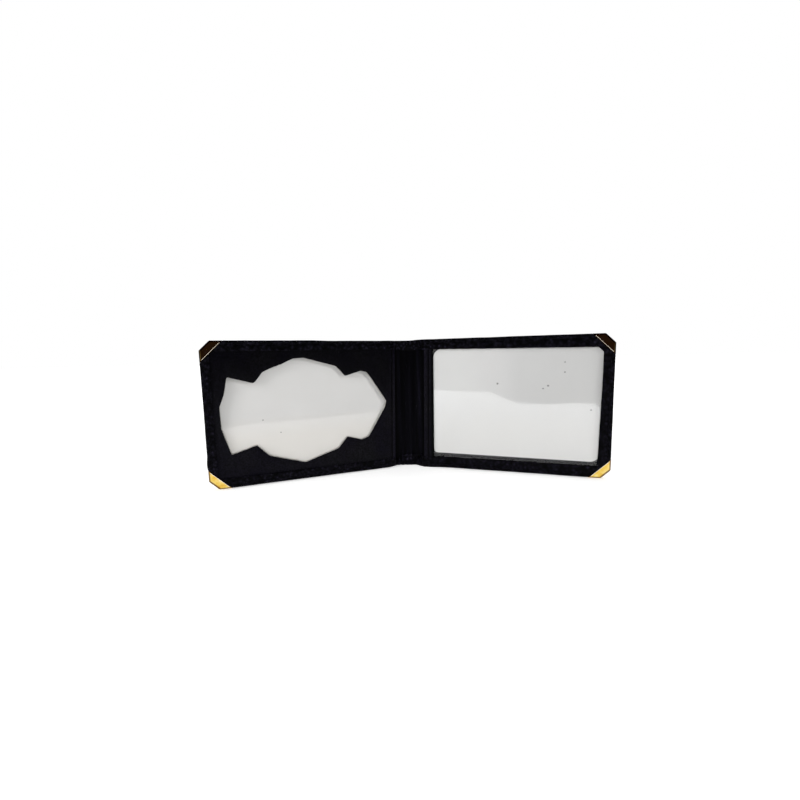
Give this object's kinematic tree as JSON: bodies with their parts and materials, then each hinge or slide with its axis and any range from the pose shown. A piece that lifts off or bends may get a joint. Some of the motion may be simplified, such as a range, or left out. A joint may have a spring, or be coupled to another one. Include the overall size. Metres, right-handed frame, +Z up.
{
  "type": "id badge wallet",
  "caption": "Book-style leather wallet with a badge-shaped recess in its left cover, a clear card window in its right cover and folded metal corners.",
  "frame": {"origin": "under the middle of the standing wallet's box, on the surface it stands on", "axes": "+Z up, +Y out of the spine's back, -Y the way the inner faces look, +X towards the identity cover"},
  "size_m": [0.2116, 0.0405, 0.0762],
  "materials": {
    "outer_leather": "grained black leather, satin",
    "smooth_leather": "smooth black leather, satin",
    "smooth_lining": "thin smooth black lining, satin",
    "board": "grey bookbinding board, matte",
    "white_card": "coated white card, matte",
    "clear_film": "clear soft film, glossy",
    "brass_corner": "bright brass-coloured sheet, polished"
  },
  "bodies": {
    "spine": {"spine_leather": "outer_leather", "spine_lining": "smooth_lining", "badge_fold_leather": "outer_leather", "badge_fold_lining": "smooth_lining", "id_fold_leather": "outer_leather", "id_fold_lining": "smooth_lining"},
    "badge_cover": {"badge_cover_leather": "outer_leather", "badge_cover_board": "board", "badge_insert": "white_card", "badge_panel_core": "board", "badge_panel_leather": "smooth_leather", "badge_gutter_lining": "smooth_lining", "badge_corner_top": "brass_corner", "badge_corner_bottom": "brass_corner"},
    "id_cover": {"id_cover_leather": "outer_leather", "id_cover_board": "board", "id_pocket_lining": "smooth_lining", "id_insert": "white_card", "id_window_film": "clear_film", "id_window_strip": "outer_leather", "id_corner_top": "brass_corner", "id_corner_bottom": "brass_corner"}
  },
  "joints": [
    {"name": "badge_cover_fold", "type": "hinge", "parent": "spine", "child": "badge_cover", "pos_m": [-0.00555, 0.01978, 0.0381], "axis": [0, 0, 1], "range_deg": [-19.4, 70.6], "deforming": ["badge_fold_leather", "badge_fold_lining"]},
    {"name": "id_cover_fold", "type": "hinge", "parent": "spine", "child": "id_cover", "pos_m": [0.00555, 0.01978, 0.0381], "axis": [0, 0, -1], "range_deg": [-19.4, 70.6], "deforming": ["id_fold_leather", "id_fold_lining"]}
  ]
}
